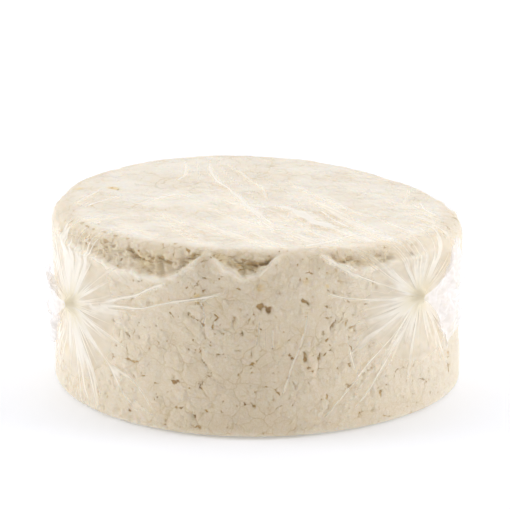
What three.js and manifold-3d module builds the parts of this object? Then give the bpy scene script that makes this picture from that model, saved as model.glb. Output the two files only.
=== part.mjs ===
// A wheel of fresh white cheese, wrapped in one sheet of cling film whose two ends
// are gathered on the side wall, twisted into necks and left as crumpled tails.
// Millimetres, +Z up. The origin is the middle of the wrapped wheel's flat underside.
import * as THREE from 'three';
import { mergeVertices } from 'three/addons/utils/BufferGeometryUtils.js';
import Module from 'manifold-3d';

// Driving dimensions of the wheel.
const CHEESE_RADIUS = 102;
const CHEESE_HEIGHT = 90;
const TOP_EDGE_RADIUS = 9;
const BOTTOM_EDGE_RADIUS = 3;
const WALL_WAIST = 0.8;            // the side wall is drawn in this much at half height

// The outline is not quite round. Each lobe is a share of the radius that repeats
// so many times round the wheel, with its first crest at an azimuth in degrees.
// Azimuth is 0 at the front (-Y) and grows towards +X.
const OUTLINE_LOBES = [
  { times: 1, share: 0.014, crest: -101 },
  { times: 2, share: 0.024, crest: 63 },
  { times: 3, share: 0.017, crest: -17 },
];

// The top is not quite flat. It is a shallow saddle, high at the front and back, and
// it leans down towards an azimuth in degrees.
const TOP_SADDLE = 2.6;
const TOP_LEAN = 3.5;
const TOP_LEAN_AZIMUTH = 60;

// The film. It is drawn thicker than the real sheet so that it is a solid wall.
const FILM_GAP = 0.3;
const FILM_THICKNESS = 0.5;
const TENT_HEIGHT = 3.2;           // how far the tight film stands off the wall at a neck
const TENT_WIDTH = 26;

// The two gathers: where they sit on the wall, which way their tails are swept, and how
// long each tail is, how many degrees it fans out and how far below level it points.
const GATHERS = [
  { azimuth: -60.2, height: 52.7, sweep: -1, length: 34, spread: 70, droop: 14 },
  { azimuth: 48.2, height: 64.4, sweep: 1, length: 42, spread: 88, droop: 10 },
];
const NECK_LENGTH = 5;
const NECK_ROOT_RADIUS = 7;
const NECK_TIP_RADIUS = 3.6;
const NECK_BORE_RADIUS = 1.1;
const NECK_SINK = 0.9;             // how deep the neck's root goes into the film
const TAIL_THICKNESS = 1.2;
const TAIL_LIFT = 3;               // how far the free edge stands off the film
const TAIL_RAGGEDNESS = 0.12;      // how uneven the free edge is, as a share of the length
const RUFFLE_HEIGHT = 1.2;
const RUFFLES = 4;

// How finely the round surfaces are divided.
const ROUND_SEGMENTS = 60;
const EDGE_SEGMENTS = 4;
const WALL_SEGMENTS = 7;
const DISC_RINGS = 3;
const NECK_SEGMENTS = 16;
const TAIL_ROWS = 4;
const TAIL_COLUMNS = 16;

// The film's outer face at a neck, measured from the unwaisted wall of the cheese.
const FILM_STAND_OFF = FILM_GAP + FILM_THICKNESS + TENT_HEIGHT - WALL_WAIST;

const radians = THREE.MathUtils.degToRad;

const wasm = await Module();
wasm.setup();

// A closed three.js geometry as a manifold solid, for joining and cutting.
function toSolid(geometry) {
  const bare = geometry.index ? geometry.clone() : geometry.clone().toNonIndexed();
  bare.deleteAttribute('normal');
  bare.deleteAttribute('uv');
  const merged = mergeVertices(bare, 1e-4);
  return new wasm.Manifold(new wasm.Mesh({
    numProp: 3,
    vertProperties: new Float32Array(merged.attributes.position.array),
    triVerts: new Uint32Array(merged.index.array),
  }));
}

// A manifold solid back as a three.js geometry.
function toGeometry(solid) {
  const mesh = solid.getMesh();
  const geometry = new THREE.BufferGeometry();
  geometry.setAttribute('position', new THREE.BufferAttribute(mesh.vertProperties, 3));
  geometry.setIndex(new THREE.BufferAttribute(mesh.triVerts, 1));
  geometry.computeVertexNormals();
  return geometry;
}

// Moves every vertex of a geometry by a function of its place.
function reshape(geometry, move) {
  const positions = geometry.attributes.position;
  const vertex = new THREE.Vector3();
  for (let i = 0; i < positions.count; i += 1) {
    vertex.fromBufferAttribute(positions, i);
    move(vertex);
    positions.setXYZ(i, vertex.x, vertex.y, vertex.z);
  }
  return geometry;
}

// How much wider than round the wheel is at an azimuth in radians, as a factor.
function outlineFactor(azimuth) {
  return OUTLINE_LOBES.reduce(
    (factor, lobe) => factor + lobe.share * Math.cos(lobe.times * (azimuth - radians(lobe.crest))),
    1,
  );
}

// How far the top's uneven form moves a point up. Reach is its share of the radius and
// rise its share of the height.
function upshift(azimuth, reach, rise) {
  return rise * (TOP_SADDLE * reach ** 2 * Math.cos(2 * azimuth)
    - TOP_LEAN * reach * Math.cos(azimuth - radians(TOP_LEAN_AZIMUTH)));
}

// A point on the wheel's side wall, pushed out by a stand-off.
function onWall(azimuth, height, standOff) {
  const radius = CHEESE_RADIUS * outlineFactor(azimuth) + standOff;
  return new THREE.Vector3(radius * Math.sin(azimuth), -radius * Math.cos(azimuth),
    height + upshift(azimuth, 1, height / CHEESE_HEIGHT));
}

// How far the film stands off the wall near its gathers.
function tentLift(azimuth, height) {
  return GATHERS.reduce((lift, gather) => {
    const across = Math.sin((azimuth - radians(gather.azimuth)) / 2) * 2 * CHEESE_RADIUS;
    const distance = Math.hypot(across, height - gather.height);
    return lift + TENT_HEIGHT * Math.exp(-((distance / TENT_WIDTH) ** 2));
  }, 0);
}

// A quarter round of the half section, as points from one angle to another.
function quarterRound(centreX, centreY, radius, from) {
  return Array.from({ length: EDGE_SEGMENTS + 1 }, (_, step) => {
    const turn = from + radians(90) * step / EDGE_SEGMENTS;
    return new THREE.Vector2(centreX + radius * Math.cos(turn), centreY + radius * Math.sin(turn));
  });
}

// The half section of the wheel, grown by an offset: flat discs, round edges and
// a slightly waisted wall. It starts and ends on the axis.
function drumProfile(offset) {
  const radius = CHEESE_RADIUS + offset;
  const bottomEdge = BOTTOM_EDGE_RADIUS + offset;
  const topEdge = TOP_EDGE_RADIUS + offset;
  const bottom = FILM_GAP + FILM_THICKNESS - offset;
  const top = bottom + CHEESE_HEIGHT + 2 * offset;
  const discRings = Array.from({ length: DISC_RINGS }, (_, ring) => ring / DISC_RINGS);
  const wallShares = Array.from({ length: WALL_SEGMENTS - 1 }, (_, step) => (step + 1) / WALL_SEGMENTS);
  return [
    ...discRings.map((share) => new THREE.Vector2((radius - bottomEdge) * share, bottom)),
    ...quarterRound(radius - bottomEdge, bottom + bottomEdge, bottomEdge, radians(-90)),
    ...wallShares.map((share) => new THREE.Vector2(
      radius - WALL_WAIST * Math.sin(Math.PI * share),
      THREE.MathUtils.lerp(bottom + bottomEdge, top - topEdge, share))),
    ...quarterRound(radius - topEdge, top - topEdge, topEdge, 0),
    ...discRings.reverse().map((share) => new THREE.Vector2((radius - topEdge) * share, top)),
  ];
}

// The wheel's body, grown by an offset, with its uneven outline, its warped top
// and, where asked for, the film's tents.
function drum(offset, tented) {
  const geometry = new THREE.LatheGeometry(drumProfile(offset), ROUND_SEGMENTS);
  geometry.rotateX(radians(90));
  return reshape(geometry, (vertex) => {
    const distance = Math.hypot(vertex.x, vertex.y);
    const azimuth = Math.atan2(vertex.x, -vertex.y);
    const reach = distance / CHEESE_RADIUS;
    const rise = vertex.z / CHEESE_HEIGHT;
    const lift = tented ? tentLift(azimuth, vertex.z) * Math.min(1, reach) ** 4 : 0;
    const factor = outlineFactor(azimuth) + lift / CHEESE_RADIUS;
    vertex.x *= factor;
    vertex.y *= factor;
    vertex.z += upshift(azimuth, reach, rise);
  });
}

// One gather's neck: a cone with a narrow bore, standing out of the film.
function neck(gather) {
  const root = FILM_STAND_OFF - NECK_SINK;
  const tip = FILM_STAND_OFF + NECK_LENGTH;
  const profile = [
    new THREE.Vector2(NECK_BORE_RADIUS, root),
    new THREE.Vector2(NECK_ROOT_RADIUS, root),
    new THREE.Vector2(NECK_TIP_RADIUS, tip),
    new THREE.Vector2(NECK_BORE_RADIUS, tip),
    new THREE.Vector2(NECK_BORE_RADIUS, root),
  ];
  return placeAtGather(new THREE.LatheGeometry(profile, NECK_SEGMENTS), gather);
}

// The bore's own core, which opens the neck from the inside of the wrap to the outside.
function boreCore(gather) {
  const length = FILM_STAND_OFF + 2 * NECK_LENGTH;
  const core = new THREE.CylinderGeometry(NECK_BORE_RADIUS, NECK_BORE_RADIUS, length, NECK_SEGMENTS);
  core.translate(0, length / 2, 0);
  return placeAtGather(core, gather);
}

// Turns a shape that stands along +Y so that it stands out of the wall at a gather.
function placeAtGather(geometry, gather) {
  const azimuth = radians(gather.azimuth);
  const foot = onWall(azimuth, gather.height, 0);
  const outward = new THREE.Vector3(Math.sin(azimuth), -Math.cos(azimuth), 0);
  const turn = new THREE.Quaternion().setFromUnitVectors(new THREE.Vector3(0, 1, 0), outward);
  return geometry.applyQuaternion(turn).translate(foot.x, foot.y, foot.z);
}

// One gather's tail: a ruffled fan that leaves the neck and is swept back along the wall.
function tail(gather) {
  const fan = new THREE.BoxGeometry(1, 1, 1, TAIL_ROWS, TAIL_COLUMNS, 1);
  const tip = FILM_STAND_OFF + NECK_LENGTH - TAIL_THICKNESS;
  return reshape(fan, (vertex) => {
    const along = vertex.x + 0.5;
    const across = vertex.y;
    const direction = radians(across * gather.spread - gather.droop);
    const edge = gather.length * (1 - TAIL_RAGGEDNESS * Math.cos(3 * radians(across * gather.spread)));
    const reach = THREE.MathUtils.lerp(NECK_TIP_RADIUS / 2, edge, along);
    const ruffle = RUFFLE_HEIGHT * along * Math.cos(2 * Math.PI * RUFFLES * across);
    const rest = FILM_GAP + FILM_THICKNESS + TAIL_LIFT + ruffle;
    const standOff = THREE.MathUtils.lerp(tip, rest, along) + vertex.z * TAIL_THICKNESS * gather.sweep;
    const sideways = gather.sweep * reach * Math.cos(direction) / CHEESE_RADIUS;
    vertex.copy(onWall(
      radians(gather.azimuth) + sideways, gather.height + reach * Math.sin(direction), standOff));
  });
}

function cheeseWheel() {
  const curd = new THREE.MeshStandardMaterial({ color: 0xf1ebdd, roughness: 0.75, metalness: 0 });
  const mesh = new THREE.Mesh(drum(0, false), curd);
  mesh.name = 'cheese_wheel';
  return mesh;
}

function clingFilm() {
  let film = toSolid(drum(FILM_GAP + FILM_THICKNESS, true)).subtract(toSolid(drum(FILM_GAP, true)));
  for (const gather of GATHERS) {
    film = film.add(toSolid(neck(gather))).add(toSolid(tail(gather)));
    film = film.subtract(toSolid(boreCore(gather)));
  }
  const filmMaterial = new THREE.MeshStandardMaterial({
    color: 0xf4f4f0, roughness: 0.2, metalness: 0, transparent: true, opacity: 0.4,
  });
  const mesh = new THREE.Mesh(toGeometry(film), filmMaterial);
  mesh.name = 'cling_film';
  return mesh;
}

const wheel = new THREE.Group();
wheel.add(cheeseWheel(), clingFilm());

export default wheel;
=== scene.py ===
# %% [markdown]
# A wheel of fresh white cheese, drawn tight into one sheet of cling film.
#
# The real object is two things. A drum of pressed curd, about 20 cm across, and a clear film
# whose two ends are gathered on the side wall and twisted into knots. The solid model fixes the
# size and the place of both, so this file loads it first and only makes what the eye sees.

# %% Load the frame
import math
from functools import partial

import bmesh
import bpy
import numpy as np
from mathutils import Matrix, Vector, noise


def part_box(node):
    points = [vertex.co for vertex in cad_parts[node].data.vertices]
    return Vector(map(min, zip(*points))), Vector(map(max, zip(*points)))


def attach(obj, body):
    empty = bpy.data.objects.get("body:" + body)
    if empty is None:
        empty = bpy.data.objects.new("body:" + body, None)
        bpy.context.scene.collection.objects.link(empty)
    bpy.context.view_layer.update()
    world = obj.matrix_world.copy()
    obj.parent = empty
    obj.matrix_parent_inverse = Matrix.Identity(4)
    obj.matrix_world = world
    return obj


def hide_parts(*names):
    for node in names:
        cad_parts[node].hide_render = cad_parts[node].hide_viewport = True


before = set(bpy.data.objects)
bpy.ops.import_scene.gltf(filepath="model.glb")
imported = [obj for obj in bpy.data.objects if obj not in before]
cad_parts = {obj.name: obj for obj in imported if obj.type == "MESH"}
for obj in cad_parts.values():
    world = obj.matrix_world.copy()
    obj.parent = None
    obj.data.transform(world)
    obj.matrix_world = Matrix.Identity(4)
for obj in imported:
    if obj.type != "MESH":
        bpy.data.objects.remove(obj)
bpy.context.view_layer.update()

MM = 0.001
cheese_low, cheese_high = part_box("cheese_wheel")
print("cheese in the frame, mm:", [round((high - low) / MM, 1)
                                   for low, high in zip(cheese_low, cheese_high)])

# %% [markdown]
# The camera stands low and far away, as for a product picture: a long lens keeps the wheel's
# sides almost straight, and a height of about sixteen degrees shows the top as a narrow oval.

# %% Camera
CAMERA_DISTANCE = 1.2
CAMERA_ELEVATION = math.radians(15.7)
CAMERA_FOCAL_MM = 166.4
SENSOR_MM = 36
WHEEL_MIDDLE = 45.8 * MM
AIM_RAISED = 17.7 * MM
AIM_TO_LEFT = 1 * MM
aim = Vector((-AIM_TO_LEFT, 0, WHEEL_MIDDLE + AIM_RAISED))


def add_object(name, data):
    """A new object in the scene."""
    added = bpy.data.objects.new(name, data)
    bpy.context.collection.objects.link(added)
    return added


camera_data = bpy.data.cameras.new("camera")
camera_data.lens = CAMERA_FOCAL_MM
camera_data.sensor_width = SENSOR_MM
camera = add_object("camera", camera_data)
camera.location = (0, -CAMERA_DISTANCE * math.cos(CAMERA_ELEVATION),
                   WHEEL_MIDDLE + CAMERA_DISTANCE * math.sin(CAMERA_ELEVATION))
camera.rotation_euler = (aim - camera.location).to_track_quat("-Z", "Y").to_euler()
bpy.context.scene.camera = camera
print("camera height, mm:", round(camera.location.z / MM))

# %% [markdown]
# The form comes from the mould: flat discs, a straight wall, a rounded upper edge and a crisp
# lower one. Fresh curd sags a little, so the outline isn't quite round, and the top is a shallow
# saddle that leans down to the front right. The solid model was built from these same numbers.
#
# A place on the wheel is given by its azimuth, 0 at the front and growing to the right, and by
# its climb: how far up the wall it is, counted on round the upper edge and in over the top.

# %% The wheel's form
WHEEL_RADIUS = 102 * MM
WHEEL_BOTTOM = cheese_low[2]
WHEEL_TOP = WHEEL_BOTTOM + 90 * MM
TOP_EDGE = 9 * MM
BOTTOM_EDGE = 3 * MM
WALL_WAIST = 0.8 * MM
TOP_SADDLE = 2.6 * MM
TOP_LEAN = 3.5 * MM
TOP_LEAN_AZIMUTH = math.radians(60)
OUTLINE_LOBES = ((1, 0.014, -101), (2, 0.024, 63), (3, 0.017, -17))

QUARTER = math.pi / 2
WALL_START = WHEEL_BOTTOM + BOTTOM_EDGE
WALL_END = WHEEL_TOP - TOP_EDGE
TOP_START = WALL_END + QUARTER * TOP_EDGE
UNDER_START = WALL_START - QUARTER * BOTTOM_EDGE
EDGE_ABOVE = WALL_END + QUARTER / 2 * TOP_EDGE
EDGE_BELOW = WALL_START - QUARTER / 2 * BOTTOM_EDGE
CLIMB_TOP = TOP_START + WHEEL_RADIUS - TOP_EDGE
CLIMB_UNDER = UNDER_START - WHEEL_RADIUS + BOTTOM_EDGE


def smooth(value, low, high):
    """0 below low, 1 above high, and a soft step between."""
    share = np.clip((value - low) / (high - low), 0, 1)
    return share * share * (3 - 2 * share)


def outline(azimuth):
    """How much wider than round the wheel is at an azimuth, as a factor."""
    return 1 + sum(share * np.cos(times * (azimuth - math.radians(crest)))
                   for times, share, crest in OUTLINE_LOBES)


def section(climb):
    """The half section of the wheel: radius, height and outward slope at a climb."""
    up = np.clip((climb - WALL_END) / TOP_EDGE, 0, QUARTER)
    down = np.clip((WALL_START - climb) / BOTTOM_EDGE, 0, QUARTER)
    on_wall = np.clip((climb - WALL_START) / (WALL_END - WALL_START), 0, 1)
    radius = WHEEL_RADIUS - WALL_WAIST * np.sin(math.pi * on_wall)
    radius = radius - TOP_EDGE * (1 - np.cos(up)) - BOTTOM_EDGE * (1 - np.cos(down))
    radius = radius - np.maximum(climb - TOP_START, 0) - np.maximum(UNDER_START - climb, 0)
    height = np.clip(climb, WALL_START, WALL_END)
    height = height + TOP_EDGE * np.sin(up) - BOTTOM_EDGE * np.sin(down)
    return radius, height, up - down


def on_wheel(azimuth, climb, lift):
    """Points that stand a lift outside the wheel's plain form."""
    radius, height, slope = section(climb)
    reach = radius * outline(azimuth)
    share = radius / WHEEL_RADIUS
    warp = TOP_SADDLE * share ** 2 * np.cos(2 * azimuth)
    warp = (warp - TOP_LEAN * share * np.cos(azimuth - TOP_LEAN_AZIMUTH)) * height / WHEEL_TOP
    reach = reach + lift * np.cos(slope)
    return np.stack([reach * np.sin(azimuth), -reach * np.cos(azimuth),
                     height + warp + lift * np.sin(slope)], axis=1)


print("wall from", round(WALL_START / MM, 1), "to", round(WALL_END / MM, 1), "mm")

# %% [markdown]
# The cheese and the film both need a fine, even mesh with no pole in the middle of the top,
# because a pole pinches what is sculpted near it. So instead of a spun half section the mesh is a
# cube: its edges are subdivided, and the square of each level is turned into a circle.

# %% A drum without poles
AROUND_CUTS = 149
UP_CUTS = 83
FRONT_CROWDING = 0.18    # how much finer the mesh is at the front and near the top's edge
TOP_CROWDING = 0.25


def cube_drum(name):
    """A finely cut cube as a new mesh, with the azimuth and climb of each vertex."""
    mesh_maker = bmesh.new()
    bmesh.ops.create_cube(mesh_maker, size=2)
    upright = [edge for edge in mesh_maker.edges
               if abs(edge.verts[0].co.z - edge.verts[1].co.z) > 1]
    bmesh.ops.subdivide_edges(mesh_maker, edges=upright, cuts=UP_CUTS, use_grid_fill=True)
    level = [edge for edge in mesh_maker.edges
             if abs(edge.verts[0].co.z - edge.verts[1].co.z) < 1e-6]
    bmesh.ops.subdivide_edges(mesh_maker, edges=level, cuts=AROUND_CUTS, use_grid_fill=True)
    mesh = bpy.data.meshes.new(name)
    finish_mesh(mesh_maker, mesh)
    return mesh, *drum_places(read_points(mesh))


def finish_mesh(mesh_maker, mesh):
    """Turns the faces outward, smooths them and hands them to the mesh."""
    bmesh.ops.recalc_face_normals(mesh_maker, faces=mesh_maker.faces)
    for face in mesh_maker.faces:
        face.smooth = True
    mesh_maker.to_mesh(mesh)
    mesh_maker.free()


def read_points(mesh):
    """A mesh's vertices as an array."""
    points = np.empty(len(mesh.vertices) * 3)
    mesh.vertices.foreach_get("co", points)
    return points.reshape(-1, 3)


def write_points(mesh, points):
    """Moves a mesh's vertices to the places in an array."""
    mesh.vertices.foreach_set("co", points.astype(np.float32).ravel())
    mesh.update()


def drum_places(cube):
    """Azimuth and climb on the wheel for points on a cube that reaches from -1 to 1."""
    x, y, z = cube.T
    ring = np.maximum(np.abs(x), np.abs(y))
    safe = np.maximum(ring, 1e-9)
    wide = np.abs(x) >= np.abs(y)
    turn = np.where(wide, QUARTER / 2 * y / safe * np.sign(x),
                    QUARTER - QUARTER / 2 * x / safe * np.sign(y))
    turn = turn + np.where(np.where(wide, x, y) < 0, math.pi, 0)
    azimuth = (turn + QUARTER + math.pi) % (2 * math.pi) - math.pi
    azimuth = azimuth - FRONT_CROWDING * np.sin(azimuth)
    down = (1 - z) / 2
    down = down * (1 - TOP_CROWDING + TOP_CROWDING * down)
    wall = EDGE_ABOVE + (EDGE_BELOW - EDGE_ABOVE) * down
    over = CLIMB_TOP + (EDGE_ABOVE - CLIMB_TOP) * ring
    under = CLIMB_UNDER + (EDGE_BELOW - CLIMB_UNDER) * ring
    climb = np.where(ring < 1 - 1e-6, np.where(z > 0, over, under), wall)
    return azimuth, climb


curd_mesh, curd_azimuth, curd_climb = cube_drum("pressed_curd")
print("curd mesh:", len(curd_mesh.vertices), "vertices,", len(curd_mesh.polygons), "faces")

# %% [markdown]
# Pressed curd is a mass of grains that have half knitted together. Two helpers give the noise
# for it: soft lumps, and cells like the grains. Every call has its own seed, so the wheel comes
# out the same each time.

# %% Noise helpers


def lumps(points, size, seed):
    """Soft noise from -1 to 1 whose lumps are about a size across."""
    shift = Vector((7.3, 3.1, 5.7)) * seed
    return np.array([noise.noise(Vector(point) + shift) for point in points / size])


def grains(points, size, seed):
    """How far each point is from its grain's middle and from the next grain, as shares of the
    grains' size, and a random number from 0 to 1 for its grain."""
    shift = Vector((3.7, 9.1, 1.3)) * seed
    middle, border, chance = [], [], []
    for point in points / size:
        distances, centres = noise.voronoi(Vector(point) + shift)
        middle.append(distances[0])
        border.append(distances[1] - distances[0])
        chance.append(noise.cell(centres[0] * 31))
    return np.array(middle), np.array(border), np.array(chance)


print("a lump's height at the origin:", round(lumps(np.zeros((1, 3)), MM, 1)[0], 3))

# %% [markdown]
# The upper edge gets damaged first: curd crumbles away under the top's skin and leaves a rough
# groove between the smooth wall and the overhanging top. The list gives, round the wheel, how far
# up the wall's sound skin reaches and how deep the groove is. Pushing the groove in along the
# drum's own outward direction keeps the mesh even, where a boolean cut would leave it ragged.

# %% The crumbled edge
# azimuth in degrees, climb of the skin's torn edge and depth of the groove in mm
EDGE_BREAKS = (
    (-180, 86, 1.5), (-160, 88, 0.3), (-140, 84, 1.2), (-122, 88, 0.2), (-105, 83, 1),
    (-90, 88, 0.3), (-76, 86, 0.5), (-66, 82, 1.6), (-54, 80, 2.4), (-46, 79, 3.6),
    (-41, 76, 5.2), (-36, 77, 5.4), (-30, 75.6, 4.6), (-25, 75.6, 4.2), (-21, 79, 3.6),
    (-17, 84, 2.4), (-14.8, 88, 1), (-13, 89, 0.6), (-11, 87, 1.6), (-8.4, 83.6, 2.6),
    (-5.6, 81, 3.4), (-3.6, 78.6, 4.4), (-1.5, 80, 4.4), (1.2, 82.4, 4), (3.6, 86, 2.8),
    (6.4, 88.8, 1.2), (10.8, 92, 0.3), (15, 92.6, 0.4), (18, 88, 1.4), (22.8, 84, 2.8),
    (29, 81, 3), (33, 82, 1.2), (37, 83, 2.2), (42, 84, 1), (48, 84, 1.6), (54, 86, 0.8),
    (60, 89, 0.2), (78, 88, 0.2), (92, 89, 0.2), (108, 82, 2.4), (118, 85, 1.6), (130, 89, 0.3),
    (150, 84, 1.8), (165, 88, 0.5),
)
OVERHANG_TURN = math.radians(64)
OVERHANG_WANDER = 2.0 * MM
LIP_WANDER = 1.2 * MM
LIP_RISE = 1.6 * MM
LIP_BELOW, LIP_ABOVE = 3.5 * MM, 0.9 * MM    # how far the swollen lip reaches down and up

break_azimuth, break_climb, break_depth = np.array(EDGE_BREAKS).T


def around(azimuth, values):
    """A value from the list of breaks, blended round the wheel."""
    return np.interp(np.degrees(azimuth), break_azimuth, values, period=360)


def broken_edge(azimuth, climb, points):
    """At each point: the crumbled groove's depth, its torn lip's rise, and how crumbled it is."""
    lip = around(azimuth, break_climb) * MM + lumps(points, 4 * MM, 1) * LIP_WANDER
    overhang = WALL_END + TOP_EDGE * OVERHANG_TURN + lumps(points, 6 * MM, 2) * OVERHANG_WANDER
    depth = around(azimuth, break_depth) * MM
    share = (climb - lip) / np.maximum(overhang - lip, MM)
    inside = smooth(share, 0, 0.14) * (1 - smooth(share, 0.35, 1.15))
    curl = np.where(climb < lip, LIP_BELOW, LIP_ABOVE)
    lip_rise = LIP_RISE * smooth(depth, 0, 2 * MM) * np.exp(-((climb - lip) / curl) ** 2)
    return depth * inside, lip_rise, inside * smooth(depth, 0.3 * MM, 2 * MM)


print("breaks round the edge:", len(EDGE_BREAKS), " deepest, mm:", break_depth.max())

# %% [markdown]
# The wall shows where the grains met the mould, with gaps where whey drained out. The gaps that
# catch the eye are listed one by one, and the hundreds of small ones are strewn by a seeded draw. A
# gap is what is left between three to five grains, so its outline is a polygon, not an oval.

# %% Gaps between the grains
# azimuth, height, length, width in mm, turn in degrees, depth in mm
GAPS = (
    (13, 67, 6, 2.6, -12, 1.8), (15, 69, 3.5, 1, 20, 0.8), (21, 71, 1.6, 3, 15, 1.4),
    (21, 55, 8.5, 1.8, 52, 1.6), (18, 51, 2, 1.8, 0, 1.4), (13, 39, 2.2, 4.6, 14, 1.6),
    (17, 39, 2, 4.6, -18, 1.8), (20, 42, 4, 1.2, 35, 1), (1, 65, 5.5, 4.5, 30, 1.6),
    (3, 63, 3, 3, 0, 1.7), (-6, 59, 4.6, 2, -58, 1.2), (-3, 60, 4, 1.2, 25, 1),
    (-1, 57, 3.4, 1.3, 48, 1.1), (-14, 36, 5.4, 1.3, -40, 1.5), (-15, 26, 4.4, 1.6, 60, 1.4),
    (-17, 10, 2.4, 2.4, 45, 1.4), (-12, 16, 3.6, 2.4, 80, 0.9), (-1, 17, 3, 2, -30, 1.4),
    (3, 17, 4.6, 1.3, 4, 1.1), (10, 27, 4.2, 1.8, -48, 1.4), (-5, 43, 4, 1.3, -20, 1.1),
    (-9, 53, 6, 1, 5, 0.7), (7, 41, 2.6, 2.2, 0, 1), (-23, 27, 3.4, 1.8, 20, 1),
    (-38, 45, 5, 2.4, -40, 1.3), (-42, 38, 2.6, 1.2, 50, 0.9), (-36, 25, 3.6, 1.8, -35, 1),
    (56, 36, 2, 3.6, 0, 1.3), (47, 42, 2, 2, 0, 0.9), (46, 22, 1.4, 2.2, 0, 0.9),
    (59, 15, 1.4, 3.4, -10, 1), (26, 23, 2.4, 1.6, 0, 1.2), (-11, 41, 3, 1.6, -50, 1),
)
SMALL_GAPS = 420
GAP_SHARE = 0.7          # of the listed depth, or the gaps look drilled
GAP_WINDOW = 8 * MM


def gap_depth(azimuth, climb, points):
    """How deep the gaps between the grains are at each point."""
    draw = np.random.default_rng(11)
    strewn = zip(draw.uniform(-180, 180, SMALL_GAPS), draw.uniform(5, 82, SMALL_GAPS),
                 draw.gamma(2, 0.8, SMALL_GAPS) + 1.0, draw.uniform(0.8, 1.8, SMALL_GAPS),
                 draw.uniform(-90, 90, SMALL_GAPS), draw.uniform(0.4, 1.4, SMALL_GAPS))
    ragged = 1 + 0.7 * lumps(points, 1.8 * MM, 3)
    depth = np.zeros(len(points))
    for azimuth_at, height, length, width, turn, deep in [*GAPS, *strewn]:
        across = (azimuth - math.radians(azimuth_at)) * WHEEL_RADIUS
        up = climb - height * MM
        near = np.flatnonzero(np.maximum(np.abs(across), np.abs(up)) < GAP_WINDOW)
        cosine, sine = math.cos(math.radians(turn)), math.sin(math.radians(turn))
        along = (across[near] * cosine + up[near] * sine) / (length / 2 * MM)
        aside = (up[near] * cosine - across[near] * sine) / (width / 2 * MM)
        corners = draw.integers(3, 6)
        sides = 2 * math.pi * (np.arange(corners) + draw.uniform(-0.25, 0.25, corners)) / corners
        distance = np.max([along * math.cos(side) + aside * math.sin(side) for side in sides],
                          axis=0)
        hollow = GAP_SHARE * deep * MM * (1 - smooth(distance * ragged[near], 0.3, 1.05))
        depth[near] = np.maximum(depth[near], hollow)
    return depth


print("gaps laid by hand:", len(GAPS), " strewn:", SMALL_GAPS)

# %% [markdown]
# Two kinds of blotch are listed as well: yellow stains where whey has dried on the skin,
# and dark pockets, wider than they are tall, where curd fell out of the groove. Both are soft
# spots with a ragged outline, so one function makes them.

# %% Stains and pockets
# azimuth, climb and width in mm
YOLK_STAINS = ((13, 77, 4.6), (1, 74, 5), (-16, 68, 5), (52, 59, 6), (19, 74, 3), (-29, 71, 3.4),
               (6, 45, 3), (-105, 97, 7), (-108.5, 114, 10), (-70, 25, 7), (95, 40, 5),
               (140, 60, 6), (-130, 30, 5))
# the pockets are sunk in the mesh and the material mixes them brown, which is partly painted shade
POCKETS = ((-38, 87, 8), (-36, 83, 6), (-32.5, 82, 5), (-27, 85.5, 5), (-25, 83, 6), (-44, 87, 5),
           (-3.6, 88, 5), (-1, 86, 8), (2, 85.5, 6), (26.5, 88, 6), (24.5, 86, 4), (36, 88, 4),
           (108, 86, 6), (146, 87, 5), (-178, 88, 6), (-108, 86, 5), (-109, 113, 5),
           (-107.5, 117, 4), (-64, 93.5, 4), (-60, 93, 5), (-56, 93, 4), (-59, 98, 3), (-50, 93, 4),
           (-45, 92.5, 5), (-40, 92.5, 4), (-47.6, 88.4, 4))


def blotches(azimuth, climb, spots, tallness, full, edge, ragged=1):
    """How deep in a spot each point is, from 0 to 1. A spot is full and ends at the given shares
    of its width from its middle."""
    share = np.zeros(len(azimuth))
    for azimuth_at, climb_at, width in spots:
        across = (azimuth - math.radians(azimuth_at)) * WHEEL_RADIUS
        away = np.hypot(across, (climb - climb_at * MM) / tallness) / (width * MM)
        share = np.maximum(share, 1 - smooth(away * ragged, full, edge))
    return share


print("stains:", len(YOLK_STAINS), " pockets:", len(POCKETS))

# %% [markdown]
# Now the drum becomes cheese. Each effect moves a point in or out along the drum's own outward
# direction: a broad sag, the wall's grains, the gaps, the crumbled edge with its loose crumbs,
# and shallow cloth marks on the top.

# %% Sculpt the curd
SAG = 0.55 * MM
CELL_SIZE = 11 * MM
CELL_STEP = 0.32 * MM
CELL_SEAM = 0.16 * MM
CRUMB_SIZE = 4.6 * MM
CRUMB_RISE = 1.3 * MM
CLOTH_MARK = 0.22 * MM
CRUMB_GRIT = 0.5 * MM
TALLEST_CRUMB = 0.3 * MM    # above the skin, or it would come through the film
GROOVE_SHARE = 0.28         # of the listed depth, and the crumbs and pockets add to it
POCKET_DEPTH = 1.6 * MM


def sag(points):
    """The broad unevenness that the cheese has and the film over it follows."""
    lean = smooth(-points[:, 0] + points[:, 1], 0.02, 0.12)
    broad = lumps(points, 30 * MM, 4) + 0.5 * lumps(points, 13 * MM, 5) * (0.4 + lean)
    return SAG * broad * smooth(points[:, 2], 3 * MM, 20 * MM)


plain = on_wheel(curd_azimuth, curd_climb, np.zeros(len(curd_azimuth)))
on_top = smooth(curd_climb, TOP_START - 4 * MM, TOP_START + 3 * MM)
on_under = 1 - smooth(curd_climb, UNDER_START, WALL_START + 2 * MM)
on_side = 1 - on_top - on_under

_, cell_border, cell_chance = grains(plain, CELL_SIZE, 1)
crumb_middle, _, crumb_chance = grains(plain, CRUMB_SIZE, 2)
stains = blotches(curd_azimuth, curd_climb, YOLK_STAINS, 1, 0.1, 0.6)
stains = stains * (0.7 + 0.5 * lumps(plain, 3 * MM, 9))
pockets = blotches(curd_azimuth, curd_climb, POCKETS, 0.5, 0.18, 0.66,
                   1 + 0.7 * lumps(plain, 2.6 * MM, 12))
groove, torn_lip, crumbled = broken_edge(curd_azimuth, curd_climb, plain)
gaps = gap_depth(curd_azimuth, curd_climb, plain) * on_side * (1 - crumbled)

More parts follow.
